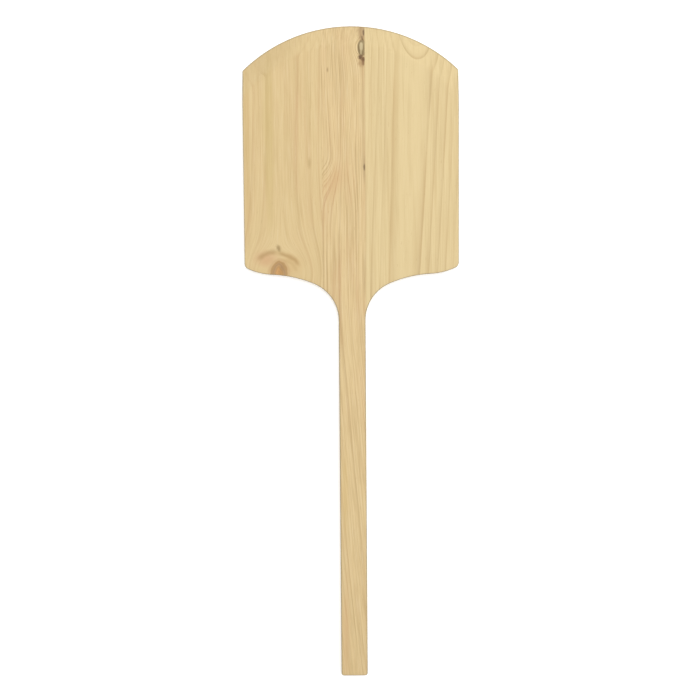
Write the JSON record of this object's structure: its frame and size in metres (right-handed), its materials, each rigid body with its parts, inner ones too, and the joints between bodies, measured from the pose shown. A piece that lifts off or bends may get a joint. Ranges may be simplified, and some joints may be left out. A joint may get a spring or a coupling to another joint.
{
  "type": "pizza peel",
  "caption": "Flat wooden pizza peel: a wide blade of edge-glued boards with a curved bevelled front edge, rounded shoulders and a long straight handle.",
  "frame": {"origin": "on the underside, half way along the overall length and on the centreline of the blade and handle", "axes": "+Y towards the tip of the blade, +X to the right seen from above, +Z out of the top face, which is the bevelled one"},
  "size_m": [0.298, 0.9144, 0.015],
  "materials": {
    "left_board_pine": "bare softwood, planed and sanded, flat-sawn, one tight knot",
    "handle_board_pine": "bare softwood, planed and sanded, rift-sawn, close rings, one cased knot",
    "right_board_pine": "bare softwood, planed and sanded, flat-sawn, wide rings",
    "wood_glue": "cured wood glue, tan"
  },
  "bodies": {
    "root": {"left_board": "left_board_pine", "handle_board": "handle_board_pine", "right_board": "right_board_pine", "left_glue_line": "wood_glue", "right_glue_line": "wood_glue"}
  },
  "joints": []
}
